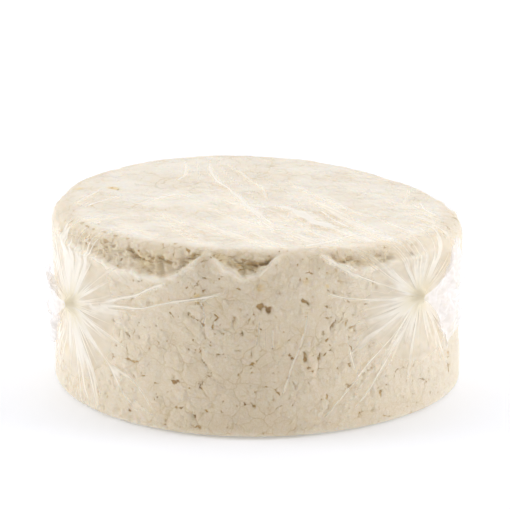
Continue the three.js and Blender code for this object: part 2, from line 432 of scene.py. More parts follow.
cells = (cell_chance - 0.5) * CELL_STEP * smooth(cell_border, 0, 0.18)
cells = cells - CELL_SEAM * (1 - smooth(cell_border, 0, 0.1))
crumbs = (0.55 - crumb_middle + crumb_chance - 0.5) * CRUMB_RISE
crumbs = crumbs + lumps(plain, 2 * MM, 6) * CRUMB_GRIT - pockets * POCKET_DEPTH
cloth_marks = lumps(plain * (0.35, 1.0, 1.0), 5 * MM, 7) * CLOTH_MARK

sound_skin = sag(plain) + torn_lip
lift = sound_skin + on_side * cells - gaps + on_top * cloth_marks
lift = lift - groove * GROOVE_SHARE + crumbled * crumbs
lift = np.minimum(lift, sound_skin + TALLEST_CRUMB) * (1 - on_under)
write_points(curd_mesh, on_wheel(curd_azimuth, curd_climb, lift))
print("deepest gap, mm:", round(gaps.max() / MM, 1), " skin moved, mm:",
      round(lift.min() / MM, 1), "to", round(lift.max() / MM, 1))

# %% [markdown]
# The curd's colour depends on how deep a point lies in a gap or in the groove. These shares are
# kept on the mesh as attributes, where a material can read them.

# %% Keep what the curd's material needs
def store(mesh, name, *numbers):
    """Keeps a share from 0 to 1, or three numbers, for each vertex, for the material to read."""
    if len(numbers) == 1:
        kind, field, numbers = "FLOAT", "value", np.clip(numbers[0], 0, 1)
    else:
        kind, field, numbers = "FLOAT_VECTOR", "vector", np.stack(numbers, axis=1)
    attribute = mesh.attributes.new(name, kind, "POINT")
    attribute.data.foreach_set(field, numbers.astype(np.float32).ravel())


for name, values in (("gap", gaps / (1.1 * MM)), ("crumbled", crumbled), ("pocket", pockets),
                     ("lip", torn_lip / LIP_RISE), ("wall", on_side), ("yolk", stains)):
    store(curd_mesh, name, values)

pressed_curd = add_object("pressed_curd", curd_mesh)
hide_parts("cheese_wheel")
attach(pressed_curd, "root")
print("kept on the curd:", [kept.name for kept in curd_mesh.attributes if kept.name[0] != "."])

# %% [markdown]
# Colours are picked as ordinary screen colours. Blender's shaders work with linear light, so one
# function turns a hex colour to linear. Another adds a shader node with its settings and links,
# and every material below is built with it.

# %% Shader helpers
MIX_A, MIX_B, MIX_RESULT = 6, 7, 2      # the colour sockets of Blender's Mix node
SOFT = {"interpolation_type": "SMOOTHSTEP"}
SEEDED = {"noise_dimensions": "4D"}


def colour(hex_code):
    """An sRGB hex colour such as F4EFE2 as linear red, green, blue and alpha."""
    channels = [int(hex_code[i:i + 2], 16) / 255 for i in (0, 2, 4)]
    return [c / 12.92 if c <= 0.04045 else ((c + 0.055) / 1.055) ** 2.4 for c in channels] + [1]


def add_node(tree, kind, inputs=(), out=0, **settings):
    """Adds a node and gives the socket that leaves it. The inputs come in order, or each with
    its name or number. An input is a value, or a socket to link."""
    node = tree.nodes.new("ShaderNode" + kind)
    for name, value in settings.items():
        setattr(node, name, value)
    for key, value in inputs.items() if isinstance(inputs, dict) else enumerate(inputs):
        if isinstance(value, bpy.types.NodeSocket):
            tree.links.new(value, node.inputs[key])
        else:
            node.inputs[key].default_value = value
    return node.outputs[out] if node.outputs else None


def new_material(name):
    """An empty node material, and what adds a node to it."""
    material = bpy.data.materials.new(name)
    material.use_nodes = True
    material.node_tree.nodes.clear()
    return material, partial(add_node, material.node_tree)


print("a mid grey, 808080, in linear light:", round(colour("808080")[0], 3))

# %% [markdown]
# Fresh pressed curd is dense, moist and white. To the eye it is matte and creamy, and crossed by
# broken hairline cracks between grains of about 11 mm and 5 mm. Where a crack opens it shows a
# brown pit. A Voronoi texture's distance to the nearest border draws such a net, and noise that
# changes the crack's width breaks it up: mostly nothing, here and there a wide angular pit.

# %% Cracks between the grains
def cracks(node, place, grain, widest, quiet, seed):
    """How open the cracks between grains are, in mm and below 0 where there is none, and how far
    the nearest border of a grain is, in mm."""
    scale = 1000 / grain
    bend = node("TexNoise", {"Vector": place, "Scale": scale * 1.9, "Detail": 3}, "Color")
    bent = node("VectorMath", (bend, (0.6 * grain * MM,) * 3, place), operation="MULTIPLY_ADD")
    net = node("TexVoronoi", {"Vector": bent, "Scale": scale}, feature="DISTANCE_TO_EDGE")
    swell = node("TexNoise", {"Vector": place, "W": seed, "Scale": scale * 1.4, "Detail": 2},
                 **SEEDED)
    width = node("MapRange", (swell, quiet, 0.8, 0, widest / 2), **SOFT)
    from_border = node("Math", (net, grain), operation="MULTIPLY")
    return node("Math", (width, from_border), operation="SUBTRACT"), from_border


curd_material, curd_node = new_material("pressed_fresh_curd")
curd_place = curd_node("TexCoord", out="Object")
top_place = curd_node("Mapping", {"Vector": curd_place, "Scale": (0.5, 1, 1)})
level_place = curd_node("Mapping", {"Vector": curd_place, "Scale": (0.3, 0.3, 1)})
# place, grain and widest crack in mm, how much of the net stays closed, and seed
crack_nets = [cracks(curd_node, *values) for values in (
    (curd_place, 10, 2.8, 0.56, 1.0), (curd_place, 5, 2.0, 0.56, 4.0),
    (curd_place, 2.6, 1.3, 0.605, 6.0), (top_place, 6, 1.4, 0.5, 8.0),
    (level_place, 2.4, 1.3, 0.42, 9.0))]
((big_cracks, big_border), (small_cracks, small_border), (fine_cracks, _), (top_cracks, _),
 (split_cracks, _)) = crack_nets
open_cracks = curd_node("Math", (big_cracks, small_cracks), operation="MAXIMUM")
open_cracks = curd_node("Math", (open_cracks, fine_cracks), operation="MAXIMUM")
print("crack nets:", len(crack_nets))

# %% [markdown]
# Sound skin is cream. The wall is mixed a little warmer and darker than the top, partly the skin's
# own tone and partly painted shade, as the wall gets less light than the top. A torn or sunken
# place is straw-coloured and the bottom of a pit is brown, the more so the deeper a gap or pocket
# lies: partly dried whey and partly painted shade in these hollows. The masks are the cracks and
# the kept numbers, each broken up by fine noise, so that no edge is as soft as the mesh.

# %% Colours of the curd
SKIN, SKIN_WARM, HAIRLINE, STRAW, TAN, BROWN, YOLK, PAINTED_HIGHLIGHT = (
    colour(code) for code in ("F3ECDE", "E8DBC5", "D8C7A6", "DFCDA6", "C59D54", "9A7030",
                           "E8CA7C", "FBF5E8"))

on_wall, torn, gap, pocket, lip, yolk = (
    curd_node("Attribute", out="Fac", attribute_name=name)
    for name in ("wall", "crumbled", "gap", "pocket", "lip", "yolk"))
# place, size in mm, detail and seed of each patchwork
patches, dry, fine, grit, layers = (
    curd_node("TexNoise", {"Vector": place, "Scale": 1000 / size, "Detail": detail, "W": seed},
              **SEEDED)
    for place, size, detail, seed in (
        (curd_place, 22, 4, 1.0), (curd_place, 12, 3, 6.0), (curd_place, 1.6, 4, 2.0),
        (curd_place, 4.5, 4, 3.0), (level_place, 3.5, 3, 4.0)))

# noise, how much of it is added, and the kept number that it makes ragged
ragged_gap, ragged_pocket = (
    curd_node("Math", values, operation="MULTIPLY_ADD")
    for values in ((fine, 1.5, gap), (fine, 1.0, pocket)))

# Each of these is a soft step of a number, and how strong it is at most may be another share.
# the wall mixed warmer and darker than the top: partly the skin's own tone, partly painted shade
wall_tone_and_painted_shade = curd_node("Math", (on_wall, 0.55), operation="MULTIPLY")
warm_patch = curd_node("MapRange", (patches, 0.4, 0.65, 0, 0.5), **SOFT)
in_patches = curd_node("MapRange", (patches, 0.45, 0.62, 0, 0.7), **SOFT)
in_layers = curd_node("MapRange", (layers, 0.4, 0.62, 0.1, 0.85), **SOFT)
torn_there = curd_node("MapRange", (torn, 0.2, 0.8, 0, in_layers), **SOFT)
off_wall = curd_node("MapRange", (on_wall, 0.1, 0.6, 0.4, 0), **SOFT)
stained_skin = curd_node("MapRange", (fine, 0.3, 0.6, 0.2, 1), **SOFT)
# the gap and pocket masks follow how deep these lie, so the straw and brown they give is partly
# painted shade
hairline, top_marks, torn_floor, pocket_floor, gap_rim, gap_floor, crack_rim, crack_floor = (
    curd_node("MapRange", values, **SOFT) for values in (
        (big_border, 0.35, 0.05, 0, in_patches), (top_cracks, -0.1, 0.25, 0, off_wall),
        (split_cracks, -0.1, 0.25, 0, torn_there), (ragged_pocket, 0.9, 1.35, 0, 0.6),
        (ragged_gap, 0.95, 1.25, 0, 0.6), (ragged_gap, 1.25, 1.7, 0, 0.8),
        (open_cracks, -0.35, 0.2, 0, 0.55), (open_cracks, 0.05, 0.6, 0, 0.85)))
rim, floor_of_pit, torn_floor = (
    curd_node("Math", pair, operation="MAXIMUM")
    for pair in ((crack_rim, gap_rim), (crack_floor, gap_floor), (torn_floor, pocket_floor)))
# the torn groove is mixed towards straw: partly the torn curd's own colour, partly painted shade in
# the groove
rim, floor_of_pit, yolk, torn_straw_and_painted_shade = (
    curd_node("Math", pair, operation="MULTIPLY")
    for pair in ((rim, on_wall), (floor_of_pit, on_wall), (yolk, stained_skin), (torn, in_layers)))

# painted highlight: the groove's swollen lip is mixed paler, as where it catches the light
lip_painted_highlight = curd_node("MapRange", (lip, 0.45, 0.9, 0, 0.6), **SOFT)
gritty = curd_node("MapRange", (grit, 0.35, 0.65), **SOFT)
# brown for hollows: in the cracks their own colour, in the sculpted gaps and pockets partly painted
# shade
brown_of_hollows = curd_node("Mix", {0: gritty, MIX_A: TAN, MIX_B: BROWN}, MIX_RESULT, data_type="RGBA")
shade = SKIN
for share, over in ((wall_tone_and_painted_shade, SKIN_WARM), (warm_patch, SKIN_WARM), (hairline, HAIRLINE),
                    (top_marks, STRAW), (yolk, YOLK), (torn_straw_and_painted_shade, STRAW), (torn_floor, brown_of_hollows),
                    (rim, STRAW), (floor_of_pit, brown_of_hollows), (lip_painted_highlight, PAINTED_HIGHLIGHT)):
    shade = curd_node("Mix", {0: share, MIX_A: shade, MIX_B: over}, MIX_RESULT, data_type="RGBA")
print("curd colours are mixed by", len(curd_material.node_tree.nodes), "nodes")

# %% [markdown]
# The larger relief is in the mesh, and what is finer than the mesh is left to bump. Moist curd
# has an index of about 1.45, but its skin is too rough to mirror anything, so its gloss is turned
# well down. Light sinks in a millimetre or two and comes out warmer, as red reaches furthest.

# %% Relief and finish of the curd
# how much each thing raises the skin, in mm
lumpy = curd_node("MapRange", (dry, 0.42, 0.6, 0.1, 0.7), **SOFT)
big_lump = curd_node("MapRange", (big_border, 0, 2.6, 0, lumpy), **SOFT)
small_lump = curd_node("MapRange", (small_border, 0, 1.5, 0, lumpy), **SOFT)
skin_height = 0.0
for amount, thing in ((0.14, fine), (0.75, big_lump), (0.35, small_lump), (-0.5, floor_of_pit),
                      (-0.1, hairline), (-0.15, top_marks), (0.3, torn_straw_and_painted_shade), (0.5, dry),
                      (-0.5, torn_floor)):
    skin_height = curd_node("Math", (thing, amount, skin_height), operation="MULTIPLY_ADD")
curd_bump = curd_node("Bump", {"Strength": 1, "Distance": MM, "Height": skin_height})
curd_finish = curd_node("BsdfPrincipled", {
    "Base Color": shade, "Normal": curd_bump, "Roughness": 0.6, "IOR": 1.45,
    "Specular IOR Level": 0.05, "Subsurface Weight": 0.6,
    "Subsurface Radius": (1.0, 0.78, 0.52), "Subsurface Scale": 2.5 * MM})
curd_node("OutputMaterial", [curd_finish])
curd_mesh.materials.append(curd_material)
print("curd material:", len(curd_material.node_tree.nodes), "nodes")

# %% [markdown]
# The wrapping is one sheet of cling film. It goes over the top, down the back, under the base and
# up the front, and its two long edges overlap across the back wall. Its two ends are bunched and
# twisted, one at the front left and one at the front right. Cloth simulation would need a far
# finer mesh to make creases this thin. So the drum is used a second time: slit along the seam,
# laid just outside the cheese, drawn towards the two gathers, and pleated round them.

# %% Cut the film's seam
# azimuth in degrees, height in mm, and the side that the tail is swept to
GATHERS = {"left": (-60.2, 52.7, -1), "right": (48.2, 64.4, 1)}
(left_azimuth, left_height, _), (right_azimuth, right_height, _) = GATHERS.values()
BACK_SPAN = left_azimuth + 360 - right_azimuth
NUDGE = 1e-4

film_mesh, film_azimuth, film_climb = cube_drum("cling_film_wrap")


def behind(azimuth):
    """Degrees from the right gather round the back. More than the back's span is in front."""
    return (np.degrees(azimuth) - right_azimuth) % 360


def open_seam(mesh, azimuth):
    """Slits the middle row round the back, and nudges the slit's two edges apart."""
    at_back = behind(azimuth) < BACK_SPAN
    mesh_maker = bmesh.new()
    mesh_maker.from_mesh(mesh)
    row = {vertex for vertex in mesh_maker.verts
           if abs(vertex.co.z) < NUDGE / 2 and at_back[vertex.index]}
    seam = [edge for edge in mesh_maker.edges if row.issuperset(edge.verts)]
    bmesh.ops.split_edges(mesh_maker, edges=seam)
    for vertex in mesh_maker.verts:
        if abs(vertex.co.z) < NUDGE / 2 and vertex.is_boundary:
            side = sum(face.calc_center_median().z for face in vertex.link_faces)
            vertex.co.z = math.copysign(NUDGE, side)
    mesh_maker.to_mesh(mesh)
    mesh_maker.free()
    return len(seam)


print("seam edges cut:", open_seam(film_mesh, film_azimuth))

# %% [markdown]
# The rows of the mesh are slid so that the middle row runs through both gathers. The two edges of
# the slit are drawn past each other for the overlap, and every point near a gather is drawn
# towards it, which packs the mesh where the pleats are finest.

# %% Draw the film towards its gathers
OVERLAP = 14 * MM
OVERLAP_REACH = 22 * MM
OVERLAP_STARTS, OVERLAP_FULL = 5, 32    # degrees from a gather
EDGE_WAVE = 1.6 * MM
GATHER_REACH = 30 * MM
GATHER_PULL = 0.75

film_cube = read_points(film_mesh)
film_row = film_cube[:, 2]
film_azimuth, film_climb = drum_places(film_cube)
seam_line = np.interp(np.degrees(film_azimuth), [left_azimuth, right_azimuth],
                      [left_height, right_height], period=360) * MM
middle_row = film_climb[np.abs(film_row) < 2 * NUDGE].mean()
film_climb = film_climb + (seam_line - middle_row) * (1 - np.abs(film_row))

round_back = behind(film_azimuth)
open_share = smooth(np.minimum(round_back, BACK_SPAN - round_back), OVERLAP_STARTS, OVERLAP_FULL)
past_line = np.abs(film_climb - seam_line)
edge_wave = EDGE_WAVE * lumps(round_back[:, None] * (1, 0, 0), 7, 21)
edge_wave = edge_wave * np.exp(-past_line / (6 * MM))
film_climb = film_climb + open_share * (
    edge_wave - np.sign(film_row) * OVERLAP / 2 * np.exp(-(past_line / OVERLAP_REACH) ** 2))


def from_gather(azimuth, climb, gather):
    """How far round and how far up from a gather a place on the wall is, in metres."""
    turn = (azimuth - math.radians(gather[0]) + math.pi) % (2 * math.pi) - math.pi
    return turn * WHEEL_RADIUS, climb - gather[1] * MM


for gather in GATHERS.values():
    across, up = from_gather(film_azimuth, film_climb, gather)
    pull = GATHER_PULL * np.exp(-(np.hypot(across, up) / GATHER_REACH) ** 2)
    film_azimuth = film_azimuth - pull * across / WHEEL_RADIUS
    film_climb = film_climb - pull * up
print("film rows run from", round(film_climb.min() / MM), "to", round(film_climb.max() / MM), "mm")

# %% [markdown]
# Pleats run straight from a gather along the film, also where it turns over the wheel's edge. So
# each point needs the direction and the length of a taut thread from the gather to it. Past an
# edge, the thread crosses the edge wherever it is shortest, and a search finds that crossing.

# %% Direction and distance from each gather
SEARCH_STEPS = 24


def thread(azimuth, climb, gather):
    """Direction (as cosine and sine) and length of a taut thread from a gather to each point."""
    across, up = from_gather(azimuth, climb, gather)
    edge = np.where(climb > EDGE_ABOVE, EDGE_ABOVE, EDGE_BELOW)
    past_edge = (climb > EDGE_ABOVE) | (climb < EDGE_BELOW)
    inner = WHEEL_RADIUS - np.abs(climb - edge)
    turn = across / WHEEL_RADIUS
    rise = edge - gather[1] * MM

    def length_over(crossing):
        gone = np.hypot(crossing * WHEEL_RADIUS, rise)
        apart = WHEEL_RADIUS ** 2 + inner ** 2 - 2 * WHEEL_RADIUS * inner * np.cos(turn - crossing)
        return gone + np.sqrt(np.maximum(apart, 0))

    low, high = np.minimum(turn, 0), np.maximum(turn, 0)
    for _ in range(SEARCH_STEPS):
        left, right = low + (high - low) * 0.4, low + (high - low) * 0.6
        shorter_left = length_over(left) < length_over(right)
        low, high = np.where(shorter_left, low, left), np.where(shorter_left, right, high)
    crossing = (low + high) / 2
    run = np.where(past_edge, crossing * WHEEL_RADIUS, across)
    climbed = np.where(past_edge, rise, up)
    first = np.maximum(np.hypot(run, climbed), 1e-6)
    length = np.where(past_edge, length_over(crossing), first)
    return run / first, climbed / first, length


threads = {side: thread(film_azimuth, film_climb, gather) for side, gather in GATHERS.items()}
print("nearest film to a gather, mm:",
      [round(length.min() / MM, 2) for _, _, length in threads.values()])

# %% [markdown]
# A few long folds were laid flat when the film was pulled tight. The broadest of the listed bands
# also stand for light glancing off the film, so their whiteness is partly painted highlight. For
# every point the mesh keeps how far it is across the nearest one, on one side or the other: a
# signed distance is still exact between two vertices, where the mark of the fold itself would be
# blurred.

# %% Folds of the film
# half width in mm, strength, and the x and y of the points along each fold on the top, in mm
TOP_FOLDS = (
    (2.2, 0.9, (-27, 85), (-21, 38), (-13, 23), (-8.6, 5), (-5.5, -8), (1.4, -26), (9, -47),
     (17, -56)),
    (1.4, 0.8, (-5.5, -12), (1.4, -34), (9.5, -62)), (1, 0.6, (-12, -33), (-2.5, -44), (9, -61)),
    (3, 0.5, (-17, 76), (-7, 55), (-2.5, 40), (3.6, 28), (5, -3)),
    (3.6, 0.4, (14, 46), (25, 25), (37, 7), (51, -15), (67, -24)),
    (8, 1.3, (8, -4), (18, -15), (27, -32), (36, -50)),
    (1.6, 0.8, (30, -11), (37, -26), (45, -47)), (1.3, 0.7, (83, 16), (86, -1), (92, -14)),
    (1.2, 0.5, (80, 41), (74, 6)), (2, 0.8, (-69, 11), (-79, -3), (-88, -17)),
    (1.6, 0.7, (-80, 23), (-87, 7), (-91, -10)), (1.6, 0.7, (-38, 79), (-37, 50), (-44, 37)),
    (2.2, 0.7, (-34, 11), (-43, 11), (-53, -1), (-62, -7)),
    (1.6, 0.6, (48, -57), (35, -75), (20, -90)), (1.6, 0.6, (53, -57), (64, -66)),
)
# the same on the wall, but with the azimuth in degrees and the climb in mm of each point
WALL_FOLDS = (
    (0.8, 0.6, (13.6, 63), (10.8, 45), (8.4, 29), (6, 18)),
    (1, 0.9, (-50, 55.5), (-33, 60), (-21, 65), (-5.6, 72)), (0.7, 0.4, (0.4, 57), (0, 45)),
    (0.7, 0.4, (4, 55), (4.4, 44)), (1, 0.5, (25, 51), (26.4, 41), (28, 30)),
    (2.6, 0.7, (16.8, 90), (21, 84), (28.4, 77)), (1.5, 0.6, (17.6, 86), (24, 81), (36.8, 72)),
    (1, 0.7, (18, 70), (32, 65), (44, 64.4)), (0.8, 0.6, (43, 52), (32, 34), (16.4, 5)),
    (0.8, 0.5, (45, 52), (37, 31), (26, 9)), (0.8, 0.4, (-15, 67), (-13.6, 59), (-14.8, 52)),
    (1.2, 0.8, (-24, 74), (-34, 66), (-47, 57)), (4, 0.5, (-52, 54.5), (-45, 55), (-38, 54.5)),
    (1.2, 0.6, (120, 78), (108, 60), (96, 52)), (1, 0.5, (160, 80), (152, 62), (150, 30)),
    (1.2, 0.6, (-110, 70), (-124, 40), (-130, 12)), (1, 0.5, (-165, 84), (-158, 70)),
    (1.4, 0.6, (-84, 78), (-96, 52), (-101, 30)), (0.8, 0.6, (-178, 66), (-176, 44), (-174, 20)),
    (1, 0.6, (84, 84), (76, 58), (74, 30)), (0.8, 0.5, (133, 50), (128, 28), (126, 8)),
)


def nearest_fold(flat, folds_here, scale):
    """For places on a flat map: metres across the nearest fold, its strength and half width."""
    nearest = np.zeros((4, len(flat)))
    nearest[3] = np.inf      # how far away it is
    for half_width, share, *corners in folds_here:
        corners = np.array(corners) * scale
        legs = np.linalg.norm(np.diff(corners, axis=0), axis=1)
        for leg, (start, end) in enumerate(zip(corners, corners[1:])):
            way = (end - start) / legs[leg]
            gone = np.clip((flat - start) @ way, 0, legs[leg])
            off = flat - start - gone[:, None] * way
            away = np.hypot(*off.T)
            along = (legs[:leg].sum() + gone) / legs.sum()
            ends = smooth(along, 0, 0.15) * (1 - smooth(along, 0.8, 1))
            side = np.where(off @ np.array([-way[1], way[0]]) < 0, -1, 1)
            fold = away * side, share * ends, np.full(len(flat), half_width * MM), away
            nearest = np.where(away < nearest[3], fold, nearest)
    return nearest[:3]


FOLD_WANDER = 1.6 * MM
DEGREE_ROUND = math.radians(1) * WHEEL_RADIUS
film_plain = on_wheel(film_azimuth, film_climb, np.zeros(len(film_azimuth)))
wander = np.stack([lumps(film_plain, 20 * MM, 31), lumps(film_plain, 20 * MM, 32)], axis=1)
top_map = film_plain[:, :2] + FOLD_WANDER * wander
wall_map = np.stack([film_azimuth * WHEEL_RADIUS, film_climb], axis=1) + FOLD_WANDER * wander
on_disc = film_climb > TOP_START - TOP_EDGE / 2
fold_across, fold_share, fold_width = np.where(
    on_disc, nearest_fold(top_map, TOP_FOLDS, MM),
    nearest_fold(wall_map, WALL_FOLDS, np.array([DEGREE_ROUND, MM])))
folds = fold_share * np.exp(-(fold_across / fold_width) ** 2)
print("folds on the top:", len(TOP_FOLDS), " on the wall:", len(WALL_FOLDS))

# %% [markdown]
# Tight film doesn't follow the crumbled groove: it bridges it, and only follows the broad sag and
# the groove's swollen lip. Near a gather it stands off like a tent, is thrown into pleats and
# rises as a short twisted neck. Across the back its lower edge laps over its upper one.

# %% Shape the film
FILM_LIFT = 0.6 * MM
OVERLAP_LIFT = 0.35 * MM
TENT_HEIGHT = 3.0 * MM
TENT_WIDTH = 26 * MM
NECK_LENGTH = 4.6 * MM
NECK_WIDTH = 3.2 * MM
PLEAT_HEIGHT = 0.6 * MM
PLEAT_REACH = 20 * MM
PLEAT_COUNT = 4.2          # pleats to a radian, about
FOLD_HEIGHT = 0.12 * MM

film_on_under = 1 - smooth(film_climb, UNDER_START, WALL_START + 2 * MM)
film_lift = sag(film_plain) * (1 - film_on_under) + FILM_LIFT + folds * FOLD_HEIGHT
film_lift = film_lift + broken_edge(film_azimuth, film_climb, film_plain)[1]
film_lift = film_lift + open_share * (film_row < 0) * OVERLAP_LIFT * smooth(
    film_climb, seam_line - OVERLAP, seam_line - OVERLAP / 3)
for seed, (cosine, sine, length) in enumerate(threads.values()):
    spokes = np.stack([cosine * PLEAT_COUNT, sine * PLEAT_COUNT, length / (45 * MM)], axis=1)
    pleats = np.clip(1 - 2.4 * np.abs(lumps(spokes, 1, 41 + seed)), 0, 1)
    pleats = pleats * smooth(length, 1 * MM, 5 * MM) * np.exp(-length / PLEAT_REACH)
    film_lift = film_lift + PLEAT_HEIGHT * pleats
    for height, width in ((TENT_HEIGHT, TENT_WIDTH), (NECK_LENGTH, NECK_WIDTH)):
        film_lift = film_lift + height * np.exp(-(length / width) ** 2)
write_points(film_mesh, on_wheel(film_azimuth, film_climb, film_lift))
print("film stands off the wheel by up to", round(film_lift.max() / MM, 1), "mm")

# %% [markdown]
# The mesh is far too coarse to carry each pleat. So it carries the threads, as a direction and a
# length for each gather, and the material draws as many streaks along them as it likes.

# %% Keep what the film's material needs
CENTIMETRE = 10 * MM
film_on_top = smooth(film_climb, TOP_START - 2 * MM, TOP_START + 3 * MM)
for side, (cosine, sine, length) in threads.items():
    store(film_mesh, "thread_" + side, cosine, sine, length / CENTIMETRE)
store(film_mesh, "fold", fold_across / MM, fold_share, fold_width / MM)
store(film_mesh, "rim", open_share * (1 - 30 * np.abs(film_row)))
# broad whiter patches on the top's film: painted reflection of the bright surround
store(film_mesh, "top_painted_reflection", film_on_top * smooth(film_plain[:, 0] - film_plain[:, 1], -0.09, 0.06))
print("kept on the film:", [kept.name for kept in film_mesh.attributes if kept.name[0] != "."])

film_wrap = add_object("cling_film_wrap", film_mesh)
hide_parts("cling_film")
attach(film_wrap, "root")
film_wrap.visible_shadow = False    # film this thin darkens nothing behind it

# %% [markdown]
# Beyond each neck the end of the sheet is free. It was a tube before it was twisted, so the tail
# is a grid rolled into a tube: narrow at the neck, then flattened, spread like a fan along the
# wall and crumpled. Its two layers ruffle on their own, which gives it a milky, uneven look.

# %% The crumpled tails
TAIL_AROUND = 200
TAIL_ALONG = 46
ROPE_RADIUS = 1.9 * MM
TIP_HEIGHT = FILM_LIFT + TENT_HEIGHT + NECK_LENGTH
FAN_HEIGHT = 3.9 * MM
LAYERS_APART = 1.3 * MM
NEAREST_TO_WHEEL = 1.6 * MM
# length in mm, spread and droop in degrees
TAILS = {"left": (34, 70, 14), "right": (42, 88, 10)}


def tail_places(around_tube, along, gather, shape, seed):
    """Points of a tail, from how far round its tube they are and how far along it, 0 to 1."""
    azimuth_at, height, sweep = gather
    length, spread, droop = shape
    layer = np.cos(around_tube)
    fan = np.sin(around_tube) / 2 * math.radians(spread)
    heading = fan - math.radians(droop)
    ring = np.stack([np.cos(around_tube), np.sin(around_tube), 0 * along], axis=1) * 1.6
    ragged = 1 + 0.16 * lumps(ring + along[:, None] * 0.2, 1, seed)
    reach = (2 + (length - 2) * along) * MM * ragged
    opened = smooth(along, 0, 0.22)
    across = sweep * (opened * reach * np.cos(heading) + (1 - opened) * ROPE_RADIUS * layer)
    up = opened * reach * np.sin(heading) + (1 - opened) * ROPE_RADIUS * np.sin(around_tube)
    ruffle = np.sin(fan * 11 + seed + 0.8 * layer) * 1.3 + np.sin(fan * 25 + 2 * seed - layer) * 0.5
    stand_off = TIP_HEIGHT + (FAN_HEIGHT - TIP_HEIGHT) * smooth(along, 0.15, 1)
    stand_off = stand_off + LAYERS_APART * layer * smooth(along, 0.05, 0.4)
    stand_off = stand_off + ruffle * MM * smooth(along, 0.1, 0.7)
    crumple = np.stack([across, up, layer * 3 * MM], axis=1)
    grown = smooth(along, 0.08, 0.4)
    stand_off = stand_off + grown * (2.2 * lumps(crumple, 9 * MM, seed + 5)
                                     + 0.8 * lumps(crumple, 4.5 * MM, seed + 6)) * MM
    across = across + grown * 1.2 * MM * lumps(crumple, 5 * MM, seed + 7)
    up = up + grown * 1.6 * MM * lumps(crumple, 5 * MM, seed + 8)
    azimuth = math.radians(azimuth_at) + across / WHEEL_RADIUS
    return on_wheel(azimuth, height * MM + up, np.maximum(stand_off, NEAREST_TO_WHEEL))


def make_tail(side, seed):
    """One tail as a linked object."""
    mesh_maker = bmesh.new()
    bmesh.ops.create_grid(mesh_maker, x_segments=TAIL_AROUND, y_segments=TAIL_ALONG, size=1)
    mesh = bpy.data.meshes.new("cling_film_tail_" + side)
    mesh_maker.to_mesh(mesh)
    flat = read_points(mesh)
    around_tube, along = flat[:, 0] * math.pi, (flat[:, 1] + 1) / 2
    write_points(mesh, tail_places(around_tube, along, GATHERS[side], TAILS[side], seed))
    mesh_maker.clear()
    mesh_maker.from_mesh(mesh)
    bmesh.ops.remove_doubles(mesh_maker, verts=mesh_maker.verts, dist=0.01 * MM)
    finish_mesh(mesh_maker, mesh)
    tail = add_object(mesh.name, mesh)
    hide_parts("cling_film")
    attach(tail, "root")
    tail.visible_shadow = False
    return tail


film_tails = [make_tail(side, 51 + 10 * number) for number, side in enumerate(GATHERS)]
print("tails:", [tail.name for tail in film_tails])

# %% [markdown]
# Cling film is low density polyethylene, a hundredth of a millimetre thick. Flat and tight it is
# all but invisible. Where it is creased the layers scatter light and read as milky white lines,
# and where many are bunched it turns straw-coloured. So the material is nearly clear, and each
# streak, fold and grazing view makes it more solid and whiter. The whitening at grazing views and
# in broad patches on the top is painted reflection, and the folds are partly painted highlight.

# %% Streaks of the gathered film
def streaks(node, thread_vector, distance, count, width, seed, strength, longest):
    """Lines that run out from a gather, each with its own length. They keep one width as they
    spread, so they are many and fine far out, and crowd together at the gather."""
    spread = node("VectorMath", (thread_vector, (count, count, 0.22)), operation="MULTIPLY")
    wander = node("TexNoise", {"Vector": spread, "W": seed, "Scale": 1, "Detail": 1}, **SEEDED)
    aside = node("Math", (wander, 0.5), operation="SUBTRACT")
    aside = node("Math", (node("Math", [aside], operation="ABSOLUTE"), distance),
                 operation="MULTIPLY")
    broad = node("VectorMath", (thread_vector, (count / 2, count / 2, 0)), operation="MULTIPLY")
    luck = node("TexNoise", {"Vector": broad, "W": seed + 9, "Scale": 1, "Detail": 1}, **SEEDED)
    reach = node("MapRange", (luck, 0.38, 0.7, 0.8, longest), **SOFT)
    start = node("Math", (reach, 0.3), operation="MULTIPLY")
    fade = node("MapRange", (distance, start, reach, strength, 0))
    return node("MapRange", (aside, 0, width * count * 0.15, fade, 0), **SOFT)


# streaks to a radian, about, their width in mm, strength and longest reach in cm
STREAK_SETS = ((3, 0.5, 0.4, 5), (5, 0.3, 0.9, 9), (12, 0.17, 0.7, 5))

film_material, film_node = new_material("cling_film_ldpe")
film_place = film_node("TexCoord", out="Object")
streak_total, haze_total, straw_total = 0.0, 0.0, 0.0
for seed, side in enumerate(GATHERS):
    thread_vector = film_node("Attribute", out="Vector", attribute_name="thread_" + side)
    distance = film_node("SeparateXYZ", [thread_vector], "Z")
    for count, width, strength, longest in STREAK_SETS:
        lines = streaks(film_node, thread_vector, distance, count, width, 3.0 * seed + count,
                        strength, longest)
        streak_total = film_node("Math", (streak_total, lines), operation="MAXIMUM")
    bunched = streaks(film_node, thread_vector, distance, 5, 0.5, 7.0 * seed + 31, 1.0, 9)
    near = film_node("MapRange", (distance, 0.15, 1.8, bunched, 0), **SOFT)
    straw_total = film_node("Math", (straw_total, near), operation="MAXIMUM")
    hazy = film_node("MapRange", (distance, 0.2, 6, 1, 0), **SOFT)
    haze_total = film_node("Math", (haze_total, hazy), operation="MAXIMUM")
print("sets of streaks:", len(STREAK_SETS), "round each of", len(GATHERS), "gathers")

# %% [markdown]
# A fold is a soft pale band with a brighter line along its middle, and it swells and thins as it
# runs; the band and its brighter middle are partly painted highlight. The top also has broad
# whitish patches of more solid film, a painted reflection of the bright surround. Grazing views
# make the film whiter as well, also painted reflection; they add least on the top, which would
# otherwise glare, and none at the very bottom.

